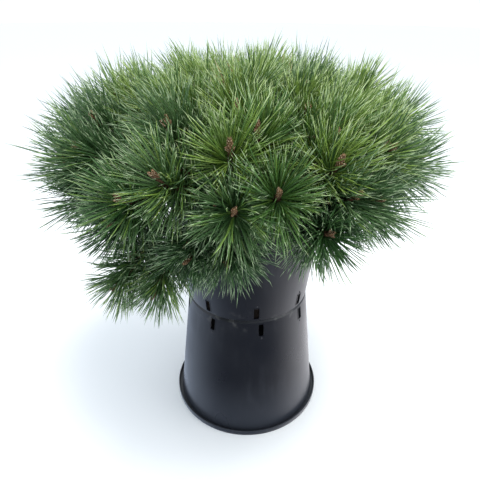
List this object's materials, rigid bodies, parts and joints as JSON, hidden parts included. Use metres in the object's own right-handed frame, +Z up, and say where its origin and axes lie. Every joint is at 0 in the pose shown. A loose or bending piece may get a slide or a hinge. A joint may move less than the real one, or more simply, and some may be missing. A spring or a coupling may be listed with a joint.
{
  "type": "potted dwarf pine",
  "caption": "Low domed mountain pine with long needles in whorls, in a round tapered black container that stands on a second one turned upside down.",
  "frame": {"origin": "under the middle of the crown's spread, on the surface that the plant stands on; the containers' axis is 15 mm to the right of it and 1 mm behind it", "axes": "+Z up, front at -Y, +X to the right seen from the front"},
  "size_m": [0.6691, 0.6847, 0.6911],
  "materials": {
    "container": "black moulded nursery plastic with a soft sheen and light scuffs",
    "soil": "dark fibrous bark and peat potting mix",
    "bark": "grey-brown scaly bark, red-brown on young wood",
    "needles": "mid to dark green needles, yellow-green on top of the crown"
  },
  "bodies": {
    "root": {"stand_pot": "container", "pot": "container", "soil": "soil", "trunk": "bark", "bough_upper_1": "bark", "bough_upper_2": "bark", "bough_upper_3": "bark", "bough_upper_4": "bark", "bough_upper_5": "bark", "bough_upper_6": "bark", "bough_upper_7": "bark", "bough_brow_1": "bark", "bough_brow_2": "bark", "bough_shoulder_1": "bark", "bough_shoulder_2": "bark", "bough_shoulder_3": "bark", "bough_shoulder_4": "bark", "bough_shoulder_5": "bark", "bough_shoulder_6": "bark", "bough_shoulder_7": "bark", "bough_shoulder_8": "bark", "bough_middle_1": "bark", "bough_skirt_1": "bark", "bough_skirt_2": "bark", "bough_skirt_3": "bark", "bough_skirt_4": "bark", "bough_skirt_5": "bark", "bough_flank_1": "bark", "bough_hanging_1": "bark", "bough_front_1": "bark", "foliage_crown_1": "needles", "foliage_crown_2": "needles", "foliage_crown_3": "needles", "foliage_upper_1": "needles", "foliage_upper_2": "needles", "foliage_upper_3": "needles", "foliage_upper_4": "needles", "foliage_upper_5": "needles", "foliage_upper_6": "needles", "foliage_upper_7": "needles", "foliage_brow_1": "needles", "foliage_brow_2": "needles", "foliage_shoulder_1": "needles", "foliage_shoulder_2": "needles", "foliage_shoulder_3": "needles", "foliage_shoulder_4": "needles", "foliage_shoulder_5": "needles", "foliage_shoulder_6": "needles", "foliage_shoulder_7": "needles", "foliage_shoulder_8": "needles", "foliage_middle_1": "needles", "foliage_skirt_1": "needles", "foliage_skirt_2": "needles", "foliage_skirt_3": "needles", "foliage_skirt_4": "needles", "foliage_skirt_5": "needles", "foliage_flank_1": "needles", "foliage_hanging_1": "needles", "foliage_front_1": "needles", "foliage_leader": "needles"}
  },
  "joints": []
}
